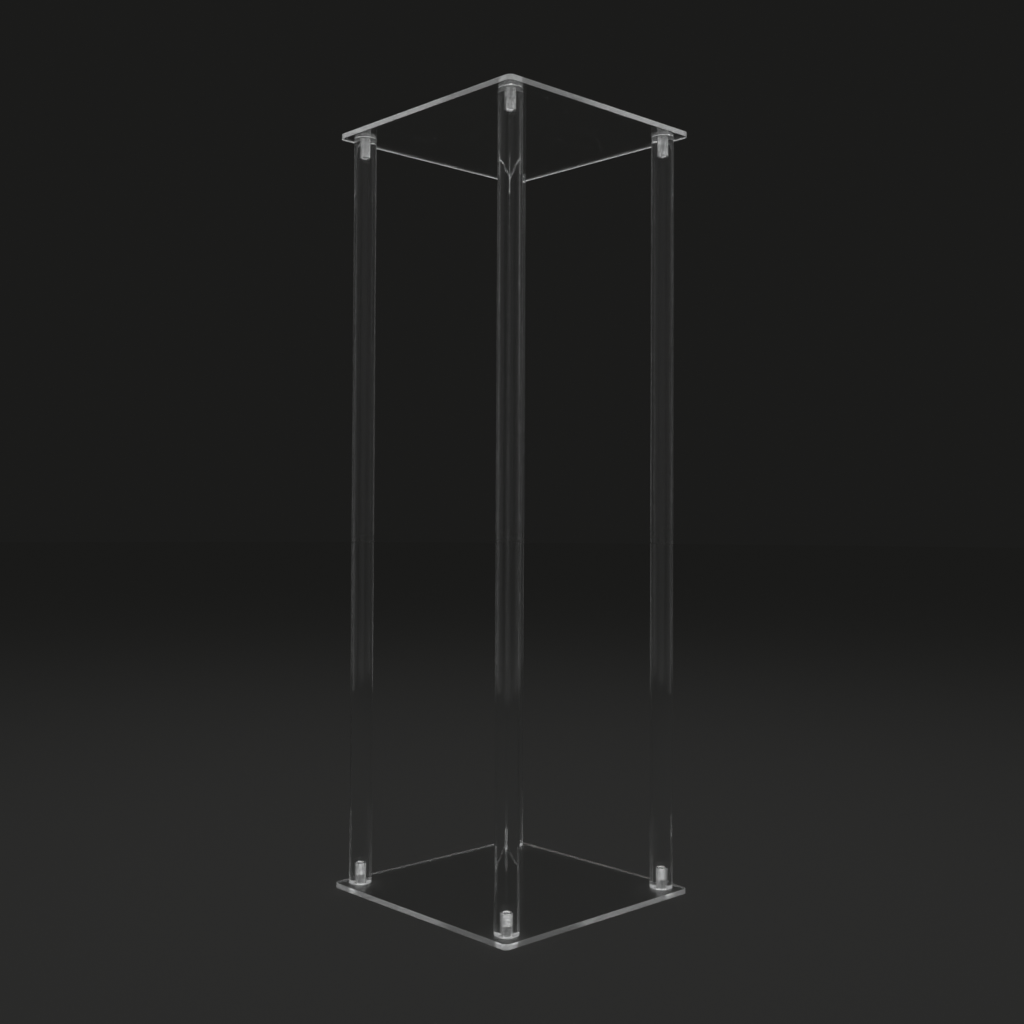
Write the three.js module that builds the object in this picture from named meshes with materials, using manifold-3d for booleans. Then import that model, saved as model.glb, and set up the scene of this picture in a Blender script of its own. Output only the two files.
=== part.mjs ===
// A clear acrylic display plinth: two square plates held apart by four solid rods, one near each
// corner. Eight countersunk screws, one through a plate into each end of each rod, hold it together.
//
// Millimetres, +Z up. The origin is the centre of the base plate's underside, X and Y run along the
// plates' sides, and -Y is the front. Both plates are the same part, and so are all rods and screws.

import * as THREE from "three";
import { mergeVertices } from "three/addons/utils/BufferGeometryUtils.js";
import Module from "manifold-3d";

// Driving dimensions.
const PLATE_SIDE = 200; // square, both plates
const PLATE_THICKNESS = 4; // stock acrylic sheet
const PLATE_CORNER_RADIUS = 5;
const ROD_LENGTH = 600;
const ROD_RADIUS = 9; // 18 mm solid acrylic bar
const ROD_CHAMFER = 0.5; // broken edge round each end
const ROD_INSET = 15; // from a plate's side to a rod's axis
const JOINT_GAP = 0.1; // dry film of air between a rod's end and a plate

// The blind hole in each end of a rod, drilled 5 mm and tapped M6.
const TAP_RADIUS = 3; // the thread's major radius
const TAP_DEPTH = 16;
const DRILL_RADIUS = 2.5;
const DRILL_DEPTH = 17; // where the drill's full diameter ends
const DRILL_POINT_ANGLE = 118; // degrees, across the drill's cone
const MOUTH_CHAMFER = 0.4;

// The hole in a plate, with the 90 degree countersink that hides the screw's head.
const CLEARANCE_RADIUS = 3.3; // a normal clearance hole for M6
const COUNTERSINK_RADIUS = 6.7; // at the plate's outer face

// The M6 x 12 countersunk socket screw.
const SCREW_LENGTH = 12; // over all, as countersunk screws are measured
const SCREW_SHANK_RADIUS = 2.675; // the thread's pitch radius
const SCREW_TIP_CHAMFER = 0.6;
const HEAD_RADIUS = 6;
const HEAD_RIM = 0.3; // straight edge of the head, above its cone
const HEAD_RECESS = 0.2; // how far the head lies below the plate's face
const SOCKET_ACROSS_FLATS = 4; // hexagon key size
const SOCKET_DEPTH = 2.3;

// How finely round shapes are faceted.
const ROD_SIDES = 40;
const HOLE_SIDES = 32;
const SCREW_SIDES = 28;
const CORNER_STEPS = 6;
const CUT_THROUGH = 1; // how far a cutter runs past the face it opens

// Places that follow from them.
const ROD_OFFSET = PLATE_SIDE / 2 - ROD_INSET;
const ROD_FOOT = PLATE_THICKNESS + JOINT_GAP;
const TOP_PLATE_UNDERSIDE = ROD_FOOT + ROD_LENGTH + JOINT_GAP;
const TOTAL_HEIGHT = TOP_PLATE_UNDERSIDE + PLATE_THICKNESS;
const CORNERS = [
  { name: "front_left", x: -ROD_OFFSET, y: -ROD_OFFSET },
  { name: "front_right", x: ROD_OFFSET, y: -ROD_OFFSET },
  { name: "back_right", x: ROD_OFFSET, y: ROD_OFFSET },
  { name: "back_left", x: -ROD_OFFSET, y: ROD_OFFSET },
];

const clearAcrylic = new THREE.MeshStandardMaterial({
  name: "clear_acrylic",
  color: 0xeef2f2,
  roughness: 0.04,
  metalness: 0,
  transparent: true,
  opacity: 0.35,
});
const stainlessSteel = new THREE.MeshStandardMaterial({
  name: "stainless_steel",
  color: 0xc4c6c8,
  roughness: 0.28,
  metalness: 1,
});

const wasm = await Module();
wasm.setup();

// A closed mesh as a solid that can be cut.
function toSolid(geometry) {
  const bare = geometry.clone();
  bare.deleteAttribute("normal");
  bare.deleteAttribute("uv");
  const merged = mergeVertices(bare, 1e-4);
  return new wasm.Manifold(
    new wasm.Mesh({
      numProp: 3,
      vertProperties: merged.getAttribute("position").array,
      triVerts: new Uint32Array(merged.index.array),
    }),
  );
}

// A solid back as a geometry, with flat faces.
function toGeometry(solid) {
  const mesh = solid.getMesh();
  const indexed = new THREE.BufferGeometry();
  const positions = new THREE.BufferAttribute(mesh.vertProperties, 3);
  indexed.setAttribute("position", positions);
  indexed.setIndex(new THREE.BufferAttribute(mesh.triVerts, 1));
  const flat = indexed.toNonIndexed();
  flat.computeVertexNormals();
  return flat;
}

// A profile of [radius, height] points, turned round the Z axis. The points run from the bottom of
// the axis, up the outside, to the top of the axis, so that the faces point outwards.
function turned(profile, sides) {
  const points = profile.map(([radius, height]) => new THREE.Vector2(radius, height));
  return new THREE.LatheGeometry(points, sides).rotateX(Math.PI / 2);
}

// One end's blind hole as [radius, depth] points, from the drill's point out to the rod's chamfer.
function blindHoleProfile() {
  const halfPoint = THREE.MathUtils.degToRad(DRILL_POINT_ANGLE / 2);
  return [
    [0, DRILL_DEPTH + DRILL_RADIUS / Math.tan(halfPoint)],
    [DRILL_RADIUS, DRILL_DEPTH],
    [DRILL_RADIUS, TAP_DEPTH],
    [TAP_RADIUS, TAP_DEPTH],
    [TAP_RADIUS, MOUTH_CHAMFER],
    [TAP_RADIUS + MOUTH_CHAMFER, 0],
    [ROD_RADIUS - ROD_CHAMFER, 0],
    [ROD_RADIUS, ROD_CHAMFER],
  ];
}

// A rod stands on z = 0, with the same hole in both ends.
function rodGeometry() {
  const foot = blindHoleProfile();
  const head = blindHoleProfile()
    .map(([radius, depth]) => [radius, ROD_LENGTH - depth])
    .reverse();
  return turned([...foot, ...head], ROD_SIDES);
}

// A plate lies on z = 0 with its countersinks opening upwards.
function plateGeometry() {
  const half = PLATE_SIDE / 2;
  const turn = half - PLATE_CORNER_RADIUS; // centre of each corner's arc
  const quarter = Math.PI / 2;
  const outline = new THREE.Shape();
  outline.moveTo(half, -turn);
  outline.absarc(turn, turn, PLATE_CORNER_RADIUS, 0, quarter);
  outline.absarc(-turn, turn, PLATE_CORNER_RADIUS, quarter, 2 * quarter);
  outline.absarc(-turn, -turn, PLATE_CORNER_RADIUS, 2 * quarter, 3 * quarter);
  outline.absarc(turn, -turn, PLATE_CORNER_RADIUS, 3 * quarter, 4 * quarter);
  const sheet = new THREE.ExtrudeGeometry(outline, {
    depth: PLATE_THICKNESS,
    bevelEnabled: false,
    curveSegments: CORNER_STEPS,
  });
  let solid = toSolid(sheet);
  const coneDepth = COUNTERSINK_RADIUS - CLEARANCE_RADIUS; // 90 degrees across the cone
  const cutter = turned(
    [
      [0, -CUT_THROUGH],
      [CLEARANCE_RADIUS, -CUT_THROUGH],
      [CLEARANCE_RADIUS, PLATE_THICKNESS - coneDepth],
      [COUNTERSINK_RADIUS + CUT_THROUGH, PLATE_THICKNESS + CUT_THROUGH],
      [0, PLATE_THICKNESS + CUT_THROUGH],
    ],
    HOLE_SIDES,
  );
  for (const { x, y } of CORNERS) {
    solid = solid.subtract(toSolid(cutter.clone().translate(x, y, 0)));
  }
  return toGeometry(solid);
}

// A screw hangs below z = 0, with the flat of its head on that plane and its axis on Z.
function screwGeometry() {
  const coneFoot = HEAD_RIM + HEAD_RADIUS - SCREW_SHANK_RADIUS; // 90 degrees across the cone
  const body = turned(
    [
      [0, -SCREW_LENGTH],
      [SCREW_SHANK_RADIUS - SCREW_TIP_CHAMFER, -SCREW_LENGTH],
      [SCREW_SHANK_RADIUS, SCREW_TIP_CHAMFER - SCREW_LENGTH],
      [SCREW_SHANK_RADIUS, -coneFoot],
      [HEAD_RADIUS, -HEAD_RIM],
      [HEAD_RADIUS, 0],
      [0, 0],
    ],
    SCREW_SIDES,
  );
  const socketRadius = SOCKET_ACROSS_FLATS / Math.sqrt(3);
  const height = SOCKET_DEPTH + CUT_THROUGH;
  const socket = new THREE.CylinderGeometry(socketRadius, socketRadius, height, 6)
    .rotateX(Math.PI / 2)
    .translate(0, 0, CUT_THROUGH - height / 2);
  return toGeometry(toSolid(body).subtract(toSolid(socket)));
}

// One named mesh, lifted to a height. Turned over, it faces down instead of up.
function place(name, geometry, material, x, y, z, turnedOver = false) {
  const mesh = new THREE.Mesh(geometry, material);
  mesh.name = name;
  mesh.position.set(x, y, z);
  mesh.rotation.x = turnedOver ? Math.PI : 0;
  return mesh;
}

const plinth = new THREE.Group();
plinth.name = "display_plinth";

// The plates' countersinks face away from the rods: down on the base, up on the top.
const plate = plateGeometry();
plinth.add(place("base_plate", plate, clearAcrylic, 0, 0, PLATE_THICKNESS, true));
plinth.add(place("top_plate", plate, clearAcrylic, 0, 0, TOP_PLATE_UNDERSIDE));

const rod = rodGeometry();
const screw = screwGeometry();
for (const { name, x, y } of CORNERS) {
  plinth.add(place(`rod_${name}`, rod, clearAcrylic, x, y, ROD_FOOT));
  const seat = TOTAL_HEIGHT - HEAD_RECESS;
  plinth.add(place(`base_screw_${name}`, screw, stainlessSteel, x, y, HEAD_RECESS, true));
  plinth.add(place(`top_screw_${name}`, screw, stainlessSteel, x, y, seat));
}

export default plinth;
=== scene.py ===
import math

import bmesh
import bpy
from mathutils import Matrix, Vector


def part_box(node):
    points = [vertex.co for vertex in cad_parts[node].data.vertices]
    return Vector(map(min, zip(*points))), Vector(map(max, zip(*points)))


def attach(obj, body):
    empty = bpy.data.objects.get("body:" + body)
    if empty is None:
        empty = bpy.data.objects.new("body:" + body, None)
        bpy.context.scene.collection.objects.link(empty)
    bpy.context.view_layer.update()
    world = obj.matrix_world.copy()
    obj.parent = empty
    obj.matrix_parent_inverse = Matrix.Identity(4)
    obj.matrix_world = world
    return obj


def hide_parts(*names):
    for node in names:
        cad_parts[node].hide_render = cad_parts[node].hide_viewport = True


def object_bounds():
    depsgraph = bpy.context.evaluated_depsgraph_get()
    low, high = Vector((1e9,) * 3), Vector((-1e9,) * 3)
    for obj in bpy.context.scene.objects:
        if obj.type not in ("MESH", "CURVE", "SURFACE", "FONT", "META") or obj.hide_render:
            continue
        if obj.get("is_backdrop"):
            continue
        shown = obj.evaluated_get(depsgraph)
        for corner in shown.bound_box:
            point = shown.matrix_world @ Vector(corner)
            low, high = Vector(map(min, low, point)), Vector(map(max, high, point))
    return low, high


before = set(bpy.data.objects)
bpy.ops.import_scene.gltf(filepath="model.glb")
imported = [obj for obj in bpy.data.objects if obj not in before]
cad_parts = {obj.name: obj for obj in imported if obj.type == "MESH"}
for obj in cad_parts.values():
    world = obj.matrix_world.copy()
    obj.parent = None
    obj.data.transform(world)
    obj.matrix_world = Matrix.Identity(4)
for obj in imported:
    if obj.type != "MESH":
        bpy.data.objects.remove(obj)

# %% [markdown]
# # A clear acrylic display plinth
#
# Two square clear plates are held apart by four solid clear rods, and eight countersunk screws
# hold them together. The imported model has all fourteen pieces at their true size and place. Here
# each one is made again with the surface a workshop leaves on it: polished faces, satin cut
# edges, turned rod ends, tapped holes with a real thread, and steel screws inside them.

MM = 0.001
cad_low, cad_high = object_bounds()
print("the plinth measures", [round(v / MM, 1) for v in cad_high - cad_low], "mm")

# %% [markdown]
# ## Measuring the frame
#
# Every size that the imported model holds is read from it, so the visible pieces can't drift away
# from it. What is hidden in the rods isn't in a box, so the thread and the drill are named here,
# in the sizes that a machinist would order.

# %% Read the plates, rods and screws
CORNERS = ("front_left", "front_right", "back_right", "back_left")

plate_low, plate_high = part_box("base_plate")
PLATE_SIDE = plate_high.x - plate_low.x
PLATE_THICKNESS = plate_high.z - plate_low.z
TOP_FACE = cad_high.z

rod_low, rod_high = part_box("rod_front_left")
ROD_RADIUS = (rod_high.x - rod_low.x) / 2
ROD_LENGTH = rod_high.z - rod_low.z
ROD_FOOT = rod_low.z

screw_low, screw_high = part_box("base_screw_front_left")
SCREW_LENGTH = screw_high.z - screw_low.z
HEAD_RADIUS = (screw_high.x - screw_low.x) / 2
HEAD_RECESS = screw_low.z

rod_axis = {}
for corner in CORNERS:
    low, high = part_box(f"rod_{corner}")
    rod_axis[corner] = Vector(((low.x + high.x) / 2, (low.y + high.y) / 2, 0))

PITCH = 1 * MM            # M6 coarse thread
THREAD_RADIUS = 3 * MM    # its crest in the acrylic
DRILL_RADIUS = 2.5 * MM
TAP_DEPTH = 16 * MM
DRILL_DEPTH = 17 * MM
POINT_HEIGHT = DRILL_RADIUS / math.tan(math.radians(118 / 2))
print("rod", round(ROD_RADIUS * 2 / MM, 2), "mm by", round(ROD_LENGTH / MM, 1), "mm")

# %% [markdown]
# ## Working by hand, in code
#
# Operators act on whatever is selected, and loading the frame leaves its nodes selected. So
# these helpers first clear the selection, then pick one piece, or the faces or edges of it that
# pass a test of where they are or which way they look.

# %% Helpers for selecting
def only(*pieces):
    """Selects these pieces and nothing else, and makes the first one active."""
    for other in bpy.context.selected_objects:
        other.select_set(False)
    for piece in pieces:
        piece.select_set(True)
    bpy.context.view_layer.objects.active = pieces[0]


def edit(piece, mode="FACE"):
    """Opens one piece in edit mode, with nothing selected."""
    only(piece)
    bpy.ops.object.mode_set(mode="EDIT")
    bpy.ops.mesh.select_mode(type=mode)
    bpy.ops.mesh.select_all(action="DESELECT")


def done():
    bpy.ops.object.mode_set(mode="OBJECT")


def pick(test, kind="faces"):
    """Selects just those faces or edges of the open piece that pass the test."""
    bpy.ops.mesh.select_all(action="DESELECT")
    mesh = bmesh.from_edit_mesh(bpy.context.edit_object.data)
    for element in getattr(mesh, kind):
        if test(element):
            element.select_set(True)
    mesh.select_flush_mode()
    bmesh.update_edit_mesh(bpy.context.edit_object.data)


def faces_z(sign):
    """A test for the flat faces that look straight up (+1) or down (-1)."""
    return lambda face: face.normal.z * sign > 0.999


def apply_modifier(piece, name):
    only(piece)
    bpy.ops.object.modifier_apply(modifier=name)


# %% Helpers for finishing
def smooth(piece, degrees=30):
    """Smooth round walls and sharp corners."""
    only(piece)
    bpy.ops.object.shade_smooth_by_angle(angle=math.radians(degrees))


def flat_stays_flat(piece):
    """Leans each corner's normal to the larger face, so a bevel doesn't bend the wall beside it."""
    weights = piece.modifiers.new("weights", "WEIGHTED_NORMAL")
    weights.keep_sharp = True
    apply_modifier(piece, "weights")


def settle(piece):
    """Puts the piece's place and turn into its mesh, and leaves its object at the origin."""
    only(piece)
    bpy.ops.object.transform_apply(location=True, rotation=True, scale=True)


def copied(piece, name, matrix):
    """Another piece of the same shape, with its own mesh, moved or turned by a matrix."""
    twin = piece.copy()
    twin.data = piece.data.copy()
    twin.name = name
    twin.data.name = name
    bpy.context.scene.collection.objects.link(twin)
    twin.matrix_world = matrix
    settle(twin)
    return twin


def assign(piece, materials, choose):
    """Gives the piece its materials, and each face the one whose number choose returns."""
    piece.data.materials.clear()
    for material in materials:
        piece.data.materials.append(material)
    for face in piece.data.polygons:
        face.material_index = choose(face)


# %% [markdown]
# ## Surface effects that several finishes share
#
# Each effect is a node group, built once: it turns the place on the piece into a mask or a
# height. `haze` is the faint unevenness of handled acrylic, `scratches` a few hairlines, and
# `tool_marks` the fine parallel lines that a saw, a laser or a lathe leaves.

# %% Node group helpers
def new_group(name, inputs, outputs):
    """A shader node group with float or vector sockets, and its input and output nodes."""
    group = bpy.data.node_groups.new(name, "ShaderNodeTree")
    for title, kind, value in inputs:
        socket = group.interface.new_socket(name=title, in_out="INPUT", socket_type=kind)
        if value is not None:
            socket.default_value = value
    for title, kind in outputs:
        group.interface.new_socket(name=title, in_out="OUTPUT", socket_type=kind)
    return group, group.nodes.new("NodeGroupInput"), group.nodes.new("NodeGroupOutput")


def math_node(tree, operation, first, second):
    """A Math node between two sockets or numbers."""
    node = tree.nodes.new("ShaderNodeMath")
    node.operation = operation
    for socket, value in zip(node.inputs, (first, second)):
        if isinstance(value, (int, float)):
            socket.default_value = value
        else:
            tree.links.new(value, socket)
    return node.outputs[0]


# %% Haze and hairline scratches
def haze_group():
    group, start, end = new_group(
        "haze",
        [("Vector", "NodeSocketVector", None), ("Scale", "NodeSocketFloat", 12.0)],
        [("Value", "NodeSocketFloat")],
    )
    noise = group.nodes.new("ShaderNodeTexNoise")
    noise.inputs["Detail"].default_value = 4
    noise.inputs["Roughness"].default_value = 0.6
    group.links.new(start.outputs["Vector"], noise.inputs["Vector"])
    group.links.new(start.outputs["Scale"], noise.inputs["Scale"])
    group.links.new(noise.outputs[0], end.inputs["Value"])
    return group


def scratch_group():
    group, start, end = new_group(
        "scratches",
        [("Vector", "NodeSocketVector", None), ("Scale", "NodeSocketFloat", 30.0),
         ("Width", "NodeSocketFloat", 0.02)],
        [("Mask", "NodeSocketFloat")],
    )
    bend = group.nodes.new("ShaderNodeTexNoise")
    bend.inputs["Scale"].default_value = 9
    group.links.new(start.outputs["Vector"], bend.inputs["Vector"])
    offset = group.nodes.new("ShaderNodeVectorMath")
    offset.operation = "MULTIPLY_ADD"
    offset.inputs[1].default_value = (0.05, 0.05, 0.05)
    group.links.new(bend.outputs["Color"], offset.inputs[0])
    group.links.new(start.outputs["Vector"], offset.inputs[2])
    cells = group.nodes.new("ShaderNodeTexVoronoi")
    cells.feature = "DISTANCE_TO_EDGE"
    group.links.new(offset.outputs[0], cells.inputs["Vector"])
    group.links.new(start.outputs["Scale"], cells.inputs["Scale"])
    thin = math_node(group, "LESS_THAN", cells.outputs["Distance"], start.outputs["Width"])
    group.links.new(thin, end.inputs["Mask"])
    return group


# %% Tool marks
def tool_mark_group():
    """Fine marks. The vector comes in stretched, so that they are long one way and close the other."""
    group, start, end = new_group(
        "tool_marks",
        [("Vector", "NodeSocketVector", None), ("Crispness", "NodeSocketFloat", 1.5)],
        [("Height", "NodeSocketFloat")],
    )
    noise = group.nodes.new("ShaderNodeTexNoise")
    noise.inputs["Scale"].default_value = 1
    noise.inputs["Detail"].default_value = 3
    group.links.new(start.outputs["Vector"], noise.inputs["Vector"])
    centred = math_node(group, "SUBTRACT", noise.outputs[0], 0.5)
    crisp = math_node(group, "MULTIPLY", centred, start.outputs["Crispness"])
    group.links.new(math_node(group, "ADD", crisp, 0.5), end.inputs["Height"])
    return group


haze = haze_group()
scratches = scratch_group()
tool_marks = tool_mark_group()
print("node groups:", [group.name for group in bpy.data.node_groups])

# %% [markdown]
# ## The finishes
#
# Clear acrylic is one material with several skins. Its faces and the bar's wall are polished, so
# light passes straight through. Where a tool has cut it, the skin is satin and scatters light,
# and that is why the edges and the tapped holes look pale against the dark. All skins share one
# refractive index, 1.49, so that the light inside a piece behaves as it does in the real one.

# %% A material with its shader at hand
ACRYLIC_INDEX = 1.49


def new_material(name, color, roughness, metallic=0.0, transmission=0.0):
    """A material with one Principled shader, and the node tree to add to."""
    material = bpy.data.materials.new(name)
    material.use_nodes = True
    shader = material.node_tree.nodes["Principled BSDF"]
    shader.inputs["Base Color"].default_value = (*color, 1)
    shader.inputs["Roughness"].default_value = roughness
    shader.inputs["Metallic"].default_value = metallic
    shader.inputs["Transmission Weight"].default_value = transmission
    shader.inputs["IOR"].default_value = ACRYLIC_INDEX
    return material, material.node_tree, shader


def place_group(tree, group, vector, **values):
    """Puts a shared effect into a material, fed by a vector, with its own values."""
    node = tree.nodes.new("ShaderNodeGroup")
    node.node_tree = group
    tree.links.new(vector, node.inputs["Vector"])
    for name, value in values.items():
        node.inputs[name.replace("_", " ")].default_value = value
    return node.outputs[0]


def stretched(tree, vector, scale):
    """A vector through a Mapping node, which stretches the pattern that reads it."""
    mapping = tree.nodes.new("ShaderNodeMapping")
    mapping.inputs["Scale"].default_value = scale
    tree.links.new(vector, mapping.inputs["Vector"])
    return mapping.outputs["Vector"]


def object_coordinates(tree, scale=(1, 1, 1)):
    """The place on the piece, in metres times the scale."""
    place = tree.nodes.new("ShaderNodeTexCoord")
    return stretched(tree, place.outputs["Object"], scale)


def turning_coordinates(tree, scale):
    """The distance from the piece's own axis and the height along it, from its turning map."""
    turning = tree.nodes.new("ShaderNodeUVMap")
    turning.uv_map = "turning"
    return stretched(tree, turning.outputs["UV"], scale)


def between(tree, mask, low, high):
    """A value that runs from low to high as the mask runs from 0 to 1."""
    spread = math_node(tree, "MULTIPLY", mask, high - low)
    return math_node(tree, "ADD", spread, low)


def add_bump(tree, shader, height, distance, strength=1.0):
    bump = tree.nodes.new("ShaderNodeBump")
    bump.inputs["Strength"].default_value = strength
    bump.inputs["Distance"].default_value = distance
    tree.links.new(height, bump.inputs["Height"])
    tree.links.new(bump.outputs["Normal"], shader.inputs["Normal"])


# %% [markdown]
# ## Letting the lamps in
#
# The satin holes and rod ends sit inside clear acrylic. A path tracer finds it hard to send light
# from a lamp through a bending surface, and the result is grain. So for the rays that only look
# for a lamp, and for the light that one dull surface sends to another, each skin is simply open.
# The eye's own rays still bend and reflect as in real acrylic. The price is that the pieces
# throw no shadow and no bright caustics.

# %% Lamps shine through every acrylic skin
def let_lamps_through(material, tree, shader):
    """Makes the skin open to shadow rays and diffuse rays, so what is inside is lit."""
    path = tree.nodes.new("ShaderNodeLightPath")
    open_skin = tree.nodes.new("ShaderNodeBsdfTransparent")
    surface = shader.outputs["BSDF"]
    for kind_of_ray in ("Is Shadow Ray", "Is Diffuse Ray"):
        mix = tree.nodes.new("ShaderNodeMixShader")
        tree.links.new(path.outputs[kind_of_ray], mix.inputs["Fac"])
        tree.links.new(surface, mix.inputs[1])
        tree.links.new(open_skin.outputs[0], mix.inputs[2])
        surface = mix.outputs[0]
    output = next(node for node in tree.nodes if node.type == "OUTPUT_MATERIAL")
    tree.links.new(surface, output.inputs["Surface"])


# %% [markdown]
# ## Polished skins
#
# Cast sheet comes polished, and picks up a film of haze and a few hairlines from handling. Bar is
# polished too, but its wall keeps faint lines along its length, which break up the straight
# bands that it draws. Both are real glass to the renderer, and the marks are only in
# roughness and bump.

# %% Polished acrylic, for the sheet's faces
CLEAR = (0.985, 0.992, 0.992)


def polished_sheet():
    material, tree, shader = new_material("polished_sheet", CLEAR, 0.01, transmission=1.0)
    film = place_group(tree, haze, object_coordinates(tree), Scale=14.0)
    hairs = place_group(tree, scratches, object_coordinates(tree), Scale=26.0, Width=0.006)
    rough = math_node(tree, "ADD", between(tree, film, 0.0, 0.02), between(tree, hairs, 0.0, 0.08))
    tree.links.new(rough, shader.inputs["Roughness"])
    let_lamps_through(material, tree, shader)
    return material


# %% Polished acrylic with faint draw lines, for the bar's wall
DRAW_LINES_STRETCH = (400, 400, 1.5)    # a few millimetres apart, and most of a metre long
DRAW_LINES_BUMP = 0.45 * MM


def polished_bar():
    material, tree, shader = new_material("polished_bar", CLEAR, 0.01, transmission=1.0)
    film = place_group(tree, haze, object_coordinates(tree, (1, 1, 0.05)), Scale=14.0)
    tree.links.new(between(tree, film, 0.0, 0.02), shader.inputs["Roughness"])
    where = object_coordinates(tree, DRAW_LINES_STRETCH)
    draw_lines = place_group(tree, tool_marks, where, Crispness=1.0)
    add_bump(tree, shader, draw_lines, DRAW_LINES_BUMP)
    let_lamps_through(material, tree, shader)
    return material


# %% [markdown]
# ## Satin skins
#
# A saw or a lathe leaves acrylic translucent: some light still passes, and some scatters back
# white. Transmission sets the balance, and it differs with the tool: a drill leaves an almost
# clear wall, a sawn edge is milky, and a turned end is nearly white. The marks must run as the
# tool did, so the edge takes them from the place on the piece, and a turned face from a map
# of the distance from its axis.

# %% Satin acrylic, where a tool has cut it
CUT = (0.95, 0.96, 0.96)


def satin_acrylic(name, roughness, transmission, marks_at, depth, unevenness=0.03):
    """marks_at(tree) gives the stretched vector that aims the tool's marks."""
    material, tree, shader = new_material(name, CUT, roughness, transmission=transmission)
    marks = place_group(tree, tool_marks, marks_at(tree), Crispness=1.5)
    uneven = between(tree, marks, roughness - unevenness, roughness + unevenness)
    tree.links.new(uneven, shader.inputs["Roughness"])
    add_bump(tree, shader, marks, depth)
    let_lamps_through(material, tree, shader)
    return material


def upright_marks(tree):
    """The saw's marks stand upright all the way round the edge."""
    return object_coordinates(tree, (1400, 1400, 60))


def turned_marks(tree):
    """A turning tool's marks are rings round the axis, about a quarter of a millimetre apart."""
    return turning_coordinates(tree, (4000, 4000, 1))


# %% The six acrylic skins
sheet_face = polished_sheet()
bar_wall = polished_bar()
sheet_edge = satin_acrylic(
    "satin_sheet_edge", roughness=0.28, transmission=0.82, marks_at=upright_marks, depth=0.015 * MM,
    unevenness=0.008)
bar_end = satin_acrylic(
    "satin_bar_end", roughness=0.3, transmission=0.35, marks_at=turned_marks, depth=0.05 * MM)
tapped_wall = satin_acrylic(
    "tapped_wall", roughness=0.35, transmission=0.6, marks_at=turned_marks, depth=0.01 * MM)
drilled_wall = satin_acrylic(
    "drilled_wall", roughness=0.12, transmission=0.9, marks_at=upright_marks, depth=0.01 * MM)
print("acrylic skins:", [material.name for material in bpy.data.materials])


# %% [markdown]
# ## Steel
#
# The screws are plated steel. The plating is dull, so the metal isn't full strength and its
# roughness wanders in small patches.

# %% Dull plated steel
PLATING = (0.88, 0.88, 0.88)
DULLED = 0.7


def turned_steel():
    material, tree, shader = new_material("turned_steel", PLATING, 0.3, metallic=DULLED)
    film = place_group(tree, haze, object_coordinates(tree), Scale=300.0)
    tree.links.new(between(tree, film, 0.45, 0.65), shader.inputs["Roughness"])
    return material


steel = turned_steel()
print("steel:", steel.name)

# %% [markdown]
# ## The rods
#
# A rod starts as a plain cylinder. Its end faces are inset and extruded inwards, as a drill
# works: a chamfered mouth, a straight wall, the step where the tap stopped, and the drill's
# blunt point. The thread is cut last. No operator climbs a helix inside a solid, so a short loop
# pushes the wall's rings in and out by a wave that rises one pitch each turn.
#
# A rod's wall is one face high, and it shares its end points with the small end chamfer. Normals
# averaged there would tilt along the whole 600 mm and bend light the wrong way, so the
# normals are weighted by area, and the long wall keeps its own.

# %% The thread's wave
RINGS_A_TURN = 8
ROD_SIDES = 96
ON_THE_WALL = 0.02 * MM   # how near a point must be to count as one of the wall's


def crest(z, angle):
    """1 on the thread's crest and 0 in its root, at a height and an angle round the rod."""
    wave = math.cos(2 * math.pi * (z / PITCH - angle / (2 * math.pi)))
    return min(1, max(0, 0.5 + 0.75 * wave))


def cut_thread(piece, root_radius, depth, reach):
    """Moves the wall's rings to the helix. reach(z) is 1 where the thread is full, 0 past its end."""
    for vertex in piece.data.vertices:
        radius = math.hypot(vertex.co.x, vertex.co.y)
        if abs(radius - root_radius) > ON_THE_WALL:
            continue
        full = reach(vertex.co.z)
        if full <= 0:
            continue
        angle = math.atan2(vertex.co.y, vertex.co.x)
        wanted = root_radius - depth * full * crest(vertex.co.z, angle)
        vertex.co.x *= wanted / radius
        vertex.co.y *= wanted / radius


# %% A blank, drilled at both ends
END_CHAMFER = 0.5 * MM
MOUTH_CHAMFER = 0.4 * MM
LEVEL = 0.1 * MM          # an edge whose ends differ by less than this lies level


def push(distance, direction):
    """Extrudes the selected faces straight along Z."""
    bpy.ops.mesh.extrude_region_move(TRANSFORM_OT_translate={"value": (0, 0, distance * direction)})


def drill_and_tap(end):
    """Sinks the hole from one end: end is +1 for the top and -1 for the foot."""
    pick(faces_z(end))
    bpy.ops.mesh.inset(thickness=ROD_RADIUS - END_CHAMFER - THREAD_RADIUS - MOUTH_CHAMFER)
    bpy.ops.mesh.inset(thickness=MOUTH_CHAMFER, depth=-MOUTH_CHAMFER)
    rings = round((TAP_DEPTH - MOUTH_CHAMFER) / PITCH * RINGS_A_TURN)
    for _ in range(rings):
        push((TAP_DEPTH - MOUTH_CHAMFER) / rings, -end)
    bpy.ops.mesh.inset(thickness=THREAD_RADIUS - DRILL_RADIUS)
    push(DRILL_DEPTH - TAP_DEPTH, -end)
    push(POINT_HEIGHT, -end)
    bpy.ops.mesh.merge(type="CENTER")


def make_rod():
    middle = (0, 0, ROD_FOOT + ROD_LENGTH / 2)
    bpy.ops.mesh.primitive_cylinder_add(
        vertices=ROD_SIDES, radius=ROD_RADIUS, depth=ROD_LENGTH, location=middle)
    rod = bpy.context.object
    settle(rod)
    edit(rod, "EDGE")
    pick(lambda edge: abs(edge.verts[0].co.z - edge.verts[1].co.z) < LEVEL, "edges")
    bpy.ops.mesh.bevel(offset=END_CHAMFER, segments=2, affect="EDGES")
    bpy.ops.mesh.select_mode(type="FACE")
    drill_and_tap(+1)
    drill_and_tap(-1)
    done()
    return rod


rod = make_rod()
print("rod blank faces", len(rod.data.polygons))

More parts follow.
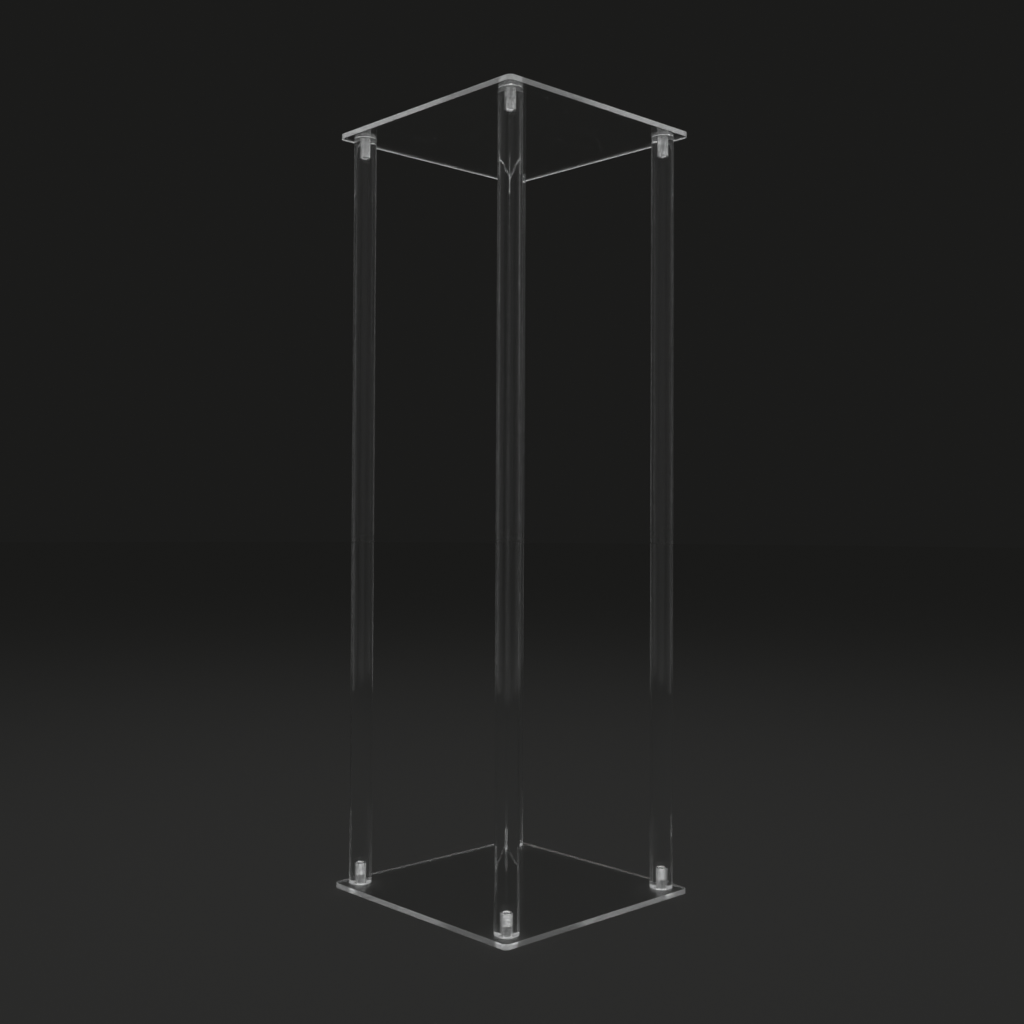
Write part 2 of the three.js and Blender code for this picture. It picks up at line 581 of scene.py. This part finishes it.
# %% The rod's threads
rod_top = ROD_FOOT + ROD_LENGTH
HOLE_RUN_IN = 0.6 * MM    # the first thread deepens over this length
THREAD_STOP = 0.01 * MM   # the tap's last ring still belongs to the thread


def hole_depth(z):
    """How far a height is inside the rod, from its nearer end."""
    return min(z - ROD_FOOT, rod_top - z)


def hole_thread_reach(z):
    depth = hole_depth(z)
    run_in = min(1, max(0, (depth - MOUTH_CHAMFER) / HOLE_RUN_IN))
    return run_in * (depth < TAP_DEPTH + THREAD_STOP)


cut_thread(rod, THREAD_RADIUS, THREAD_RADIUS - DRILL_RADIUS, hole_thread_reach)
smooth(rod, 30)
flat_stays_flat(rod)
print("rod faces", len(rod.data.polygons))


# %% The rods' skins, and one rod for each corner
def turning_map(piece):
    """A UV map of the distance from the axis and the height, both in metres."""
    layer = piece.data.uv_layers.new(name="turning")
    for loop in piece.data.loops:
        place = piece.data.vertices[loop.vertex_index].co
        layer.data[loop.index].uv = (math.hypot(place.x, place.y), place.z)


def rod_skin(face):
    """0 for the polished wall, 1 for the turned ends, 2 for the thread, 3 for the drill's point."""
    radius = math.hypot(face.center.x, face.center.y)
    depth = hole_depth(face.center.z)
    if radius > THREAD_RADIUS + MOUTH_CHAMFER:
        return 1 if depth < END_CHAMFER * 0.9 else 0
    return 3 if depth > TAP_DEPTH + LEVEL else 2


turning_map(rod)
assign(rod, [bar_wall, bar_end, tapped_wall, drilled_wall], rod_skin)
for corner, axis in rod_axis.items():
    piece = copied(rod, f"clear_rod_{corner}", Matrix.Translation(axis))
    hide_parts(f"rod_{corner}")
    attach(piece, "root")
    print("made", piece.name)
only(rod)
bpy.ops.object.delete()

# %% [markdown]
# ## The plates
#
# A plate is a block with its four upright corners rounded and its long arrises just broken. The
# holes are cut with one cutter for each: a drill that widens to the countersink's cone.

# %% Plate blank and cutters
CORNER_RADIUS = 5 * MM
ARRIS = 0.2 * MM
CLEARANCE_RADIUS = 3.3 * MM
COUNTERSINK_RADIUS = 6.7 * MM
RUN_PAST = 0.5 * MM       # a cutter reaches this far past both faces
CORNER_SEGMENTS = 16
HOLE_SIDES = 72


def plate_blank():
    bpy.ops.mesh.primitive_cube_add(size=1, location=(0, 0, PLATE_THICKNESS / 2))
    plate = bpy.context.object
    plate.scale = (PLATE_SIDE, PLATE_SIDE, PLATE_THICKNESS)
    settle(plate)
    edit(plate, "EDGE")
    pick(lambda edge: abs(edge.verts[0].co.z - edge.verts[1].co.z) > LEVEL, "edges")
    bpy.ops.mesh.bevel(offset=CORNER_RADIUS, segments=CORNER_SEGMENTS, affect="EDGES")
    pick(lambda edge: abs(edge.verts[0].co.z - edge.verts[1].co.z) < LEVEL, "edges")
    bpy.ops.mesh.bevel(offset=ARRIS, segments=2, affect="EDGES")
    done()
    return plate


def countersink_cutter(x, y):
    """The space that drill and countersink take out of a plate that lies on z = 0."""
    cone = COUNTERSINK_RADIUS - CLEARANCE_RADIUS
    shank_top = PLATE_THICKNESS - cone
    length = shank_top + RUN_PAST
    bpy.ops.mesh.primitive_cylinder_add(
        vertices=HOLE_SIDES, radius=CLEARANCE_RADIUS, depth=length, location=(x, y, shank_top - length / 2))
    cutter = bpy.context.object
    settle(cutter)
    edit(cutter)
    pick(faces_z(+1))
    push(cone + RUN_PAST, +1)
    wide = (COUNTERSINK_RADIUS + RUN_PAST) / CLEARANCE_RADIUS
    bpy.ops.transform.resize(value=(wide, wide, 1), center_override=(x, y, PLATE_THICKNESS))
    done()
    return cutter


def make_plate():
    plate = plate_blank()
    cutters = [countersink_cutter(axis.x, axis.y) for axis in rod_axis.values()]
    only(*cutters)
    bpy.ops.object.join()
    cut = plate.modifiers.new("holes", "BOOLEAN")
    cut.operation = "DIFFERENCE"
    cut.object = cutters[0]
    apply_modifier(plate, "holes")
    only(cutters[0])
    bpy.ops.object.delete()
    smooth(plate, 30)
    flat_stays_flat(plate)
    return plate


def plate_skin(face):
    """0 for the polished faces, 1 for the cut edges, 2 for the countersunk holes."""
    if abs(face.normal.z) > 0.999:
        return 0
    outside = max(abs(face.center.x), abs(face.center.y)) > PLATE_SIDE / 2 - CORNER_RADIUS
    return 1 if outside else 2


plate = make_plate()
assign(plate, [sheet_face, sheet_edge, drilled_wall], plate_skin)
print("plate faces", len(plate.data.polygons))

turned_over = Matrix.Translation((0, 0, PLATE_THICKNESS)) @ Matrix.Rotation(math.pi, 4, "X")
raised = Matrix.Translation((0, 0, TOP_FACE - PLATE_THICKNESS))
for name, matrix in (("base", turned_over), ("top", raised)):
    piece = copied(plate, f"clear_{name}_plate", matrix)
    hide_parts(f"{name}_plate")
    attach(piece, "root")
    print("made", piece.name)
only(plate)
bpy.ops.object.delete()

# %% [markdown]
# ## The screws
#
# A countersunk socket screw is turned from the head down: a thin rim, the cone that seats in the
# plate, then the shank. It is modelled head down, as it sits in the base, and its thread follows
# the same wave as the hole's, a little smaller, so the two are in mesh and never touch. The last
# half millimetre is bare core: a cone there would cross the hole's thread.

# %% One screw
HEAD_RIM = 0.3 * MM
HEAD_HEIGHT = 3.3 * MM
THREAD_CLEARANCE = 0.07 * MM
SHANK_RADIUS = THREAD_RADIUS - THREAD_CLEARANCE
TIP_CHAMFER = 0.6 * MM
KEY_SIZE = 4 * MM
SOCKET_DEPTH = 2.3 * MM
SCREW_SIDES = 64
CORE_DEPTH = 0.6 * MM
CORE_SHRINK = (SHANK_RADIUS - CORE_DEPTH) / SHANK_RADIUS
TIP_STEP = 0.05 * MM      # where the thread ends and the bare core goes on
TIP_SHRINK = 0.9
SOCKET_POINT = 0.8 * MM   # the cone at the socket's bottom


def make_screw():
    seat = HEAD_RECESS
    bpy.ops.mesh.primitive_cylinder_add(
        vertices=SCREW_SIDES, radius=HEAD_RADIUS, depth=HEAD_RIM, location=(0, 0, seat + HEAD_RIM / 2))
    screw = bpy.context.object
    settle(screw)
    edit(screw)
    pick(faces_z(+1))
    push(HEAD_HEIGHT - HEAD_RIM, +1)
    narrow = SHANK_RADIUS / HEAD_RADIUS
    bpy.ops.transform.resize(value=(narrow, narrow, 1), center_override=(0, 0, seat + HEAD_HEIGHT))
    length = SCREW_LENGTH - HEAD_HEIGHT - TIP_CHAMFER
    rings = round(length / PITCH * RINGS_A_TURN)
    for _ in range(rings):
        push(length / rings, +1)
    push(TIP_STEP, +1)
    bpy.ops.transform.resize(value=(CORE_SHRINK, CORE_SHRINK, 1), center_override=(0, 0, seat))
    push(TIP_CHAMFER - TIP_STEP, +1)
    bpy.ops.transform.resize(value=(TIP_SHRINK, TIP_SHRINK, 1), center_override=(0, 0, seat))
    done()
    return screw


def cut_socket(screw):
    bpy.ops.mesh.primitive_cylinder_add(
        vertices=6, radius=KEY_SIZE / math.sqrt(3), depth=2 * SOCKET_DEPTH, location=(0, 0, HEAD_RECESS))
    key = bpy.context.object
    settle(key)
    edit(key)
    pick(faces_z(+1))
    push(SOCKET_POINT, +1)
    bpy.ops.mesh.merge(type="CENTER")
    done()
    cut = screw.modifiers.new("socket", "BOOLEAN")
    cut.operation = "DIFFERENCE"
    cut.object = key
    apply_modifier(screw, "socket")
    only(key)
    bpy.ops.object.delete()


SCREW_RUN_IN = 0.8 * MM
SCREW_RUN_OUT = 0.3 * MM


def screw_thread_reach(z):
    along = z - HEAD_RECESS
    start = (along - HEAD_HEIGHT) / SCREW_RUN_IN
    end = (SCREW_LENGTH - TIP_CHAMFER * 0.5 - along) / SCREW_RUN_OUT
    return min(1, max(0, min(start, end)))


screw = make_screw()
cut_thread(screw, SHANK_RADIUS, THREAD_RADIUS - DRILL_RADIUS, screw_thread_reach)
cut_socket(screw)
smooth(screw, 30)
flat_stays_flat(screw)
assign(screw, [steel], lambda face: 0)
print("screw faces", len(screw.data.polygons))

# %% [markdown]
# ## Eight screws
#
# The base's screws stand as modelled. The top's are turned over and lifted, and then turned about
# their own axis until their thread is in step with the hole's at that height.

# %% Eight of them
over = Matrix.Translation((0, 0, TOP_FACE)) @ Matrix.Rotation(math.pi, 4, "X")
in_step = Matrix.Rotation(2 * math.pi * ((TOP_FACE / PITCH) % 1), 4, "Z")
for corner, axis in rod_axis.items():
    for name, matrix in (("base", Matrix.Identity(4)), ("top", in_step @ over)):
        piece = copied(screw, f"steel_{name}_screw_{corner}", Matrix.Translation(axis) @ matrix)
        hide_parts(f"{name}_screw_{corner}")
        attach(piece, "root")
        print("made", piece.name)
only(screw)
bpy.ops.object.delete()

# %% [markdown]
# ## The floor
#
# A clear plinth is seen by the pale lines that draw its shape, and a brightly lit floor behind it
# would drown them. So the floor is plain, pale and matt, but only one weak lamp lights it. It
# lies just under the base plate, because two faces at one height flicker into each other.

# %% Floor
FLOOR_RADIUS = 12
FLOOR_DROP = 0.3 * MM
PALE = (0.92, 0.92, 0.91)


def plain_floor():
    bpy.ops.mesh.primitive_circle_add(
        vertices=128, radius=FLOOR_RADIUS, fill_type="NGON", location=(0, 0, -FLOOR_DROP))
    floor = bpy.context.object
    floor.name = "floor"
    material, tree, shader = new_material("pale_floor", PALE, 0.8)
    shader.inputs["Specular IOR Level"].default_value = 0
    floor.data.materials.append(material)
    floor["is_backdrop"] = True
    return floor


floor = plain_floor()
print("floor radius", FLOOR_RADIUS, "m")

# %% [markdown]
# ## The light
#
# Polished acrylic shows what it bends and reflects, and satin acrylic the light that falls on it.
# Tall soft boxes in front and at the sides, with a narrow strip a little behind each side one,
# draw the pale bands down the rods. The overhead box and a crown of high boxes light the
# satin edges and holes from angles too steep to show in the upright rods. Light linking keeps
# them all off the floor, which has a weak lamp of its own.

# %% A soft box
def around(azimuth, distance, height):
    """A place on a circle round the plinth; azimuth 0 is in front of it, and 90 on its right."""
    angle = math.radians(azimuth)
    return Vector((math.sin(angle) * distance, -math.cos(angle) * distance, height))


def soft_box(name, place, target, width, height, power):
    """A rectangular lamp that faces the target and that the camera doesn't see."""
    light = bpy.data.lights.new(name, "AREA")
    light.shape = "RECTANGLE"
    light.size = width
    light.size_y = height
    light.energy = power
    lamp = bpy.data.objects.new(name, light)
    lamp.location = place
    lamp.rotation_euler = (target - place).to_track_quat("-Z", "Y").to_euler()
    lamp.visible_camera = False
    bpy.context.scene.collection.objects.link(lamp)
    return lamp


# %% The boxes
EYE_AZIMUTH = 46.04       # degrees: the eye is in front and to the right
BOX_DISTANCE = 1.2
BOX_MIDDLE = 0.45
BOX_HEIGHT = 1.3
BOX_WIDTH = 1.25
STRIP_WIDTH = 0.3
CROWN_SIZE = 0.6

plinth_middle = Vector((0, 0, TOP_FACE / 2))
overhead = Vector((0, 0, 1.6))
boxes = []
for name, turn, width, power in (
    ("front", 0, BOX_WIDTH, 0.66),
    ("left", -75, BOX_WIDTH, 0.65),
    ("right", 75, BOX_WIDTH, 0.42),
    ("left_strip", -92, STRIP_WIDTH, 0.39),
    ("right_strip", 92, STRIP_WIDTH, 0.39),
):
    boxes.append((name, around(EYE_AZIMUTH + turn, BOX_DISTANCE, BOX_MIDDLE), width, BOX_HEIGHT, power))
boxes.append(("overhead", overhead, 1.0, 1.0, 8))
for turn, power in ((-120, 2.2), (-60, 2.6), (0, 0.8), (60, 1.4), (120, 3.6)):
    boxes.append((f"crown_{turn}", around(EYE_AZIMUTH + turn, 0.9, 1.45), CROWN_SIZE, CROWN_SIZE, power))

all_but_floor = bpy.data.collections.new("lit_by_boxes")
all_but_floor.objects.link(floor)
all_but_floor.collection_objects[0].light_linking.link_state = "EXCLUDE"
for name, place, width, height, power in boxes:
    lamp = soft_box(f"{name}_box", place, plinth_middle, width, height, power)
    lamp.light_linking.receiver_collection = all_but_floor
soft_box("floor_pool", overhead, Vector((0, 0, 0)), 1.5, 1.5, 0.5)
print("soft boxes:", [name for name, *_ in boxes])

# %% The dark around
DUSK = (0.011, 0.011, 0.0105, 1)

world = bpy.data.worlds.new("studio")
world.use_nodes = True
world.node_tree.nodes["Background"].inputs["Color"].default_value = DUSK
bpy.context.scene.world = world

# %% [markdown]
# ## The camera
#
# The eye is level with the plinth's middle and looks at one corner, so the near rod almost hides
# the far one. It sees the top plate from below and the base plate from above.

# %% Camera
EYE_DISTANCE = 1.0140
EYE_HEIGHT = 0.30076
EYE_LENS = 44.30          # millimetres, on a sensor 36 mm wide
LOOK_UP = 1.226           # degrees above level
LOOK_ROUND = 47.263       # degrees about the upright
ROLL = 0.0052             # radians

camera_data = bpy.data.cameras.new("camera")
camera_data.lens = EYE_LENS
camera_data.sensor_width = 36
camera_data.shift_x = 0.0265
camera_data.shift_y = -0.025
camera = bpy.data.objects.new("camera", camera_data)
camera.location = around(EYE_AZIMUTH, EYE_DISTANCE, EYE_HEIGHT)
camera.rotation_euler = (math.radians(90 + LOOK_UP), 0, math.radians(LOOK_ROUND))
camera.rotation_euler.rotate_axis("Z", ROLL)
bpy.context.scene.collection.objects.link(camera)
bpy.context.scene.camera = camera
print("camera at", [round(v, 3) for v in camera.location])

# %% [markdown]
# ## How far light is followed
#
# A ray may cross a dozen skins on its way through plates and rods, and each one counts as a
# bounce, so the limits for clear and shiny surfaces are high.

# %% Colour and bounces
CLEAR_BOUNCES = 32

bpy.context.scene.view_settings.view_transform = "Standard"
cycles = bpy.context.scene.cycles
cycles.max_bounces = CLEAR_BOUNCES
cycles.transmission_bounces = CLEAR_BOUNCES
cycles.glossy_bounces = CLEAR_BOUNCES
cycles.diffuse_bounces = 6
print("bounces", cycles.max_bounces)

# %% [markdown]
# ## A last measurement
#
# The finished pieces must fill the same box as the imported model, so both boxes are written down.

# %% Sizes, written down
low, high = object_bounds()
print("visual box", [round(v / MM, 2) for v in high - low], "mm")
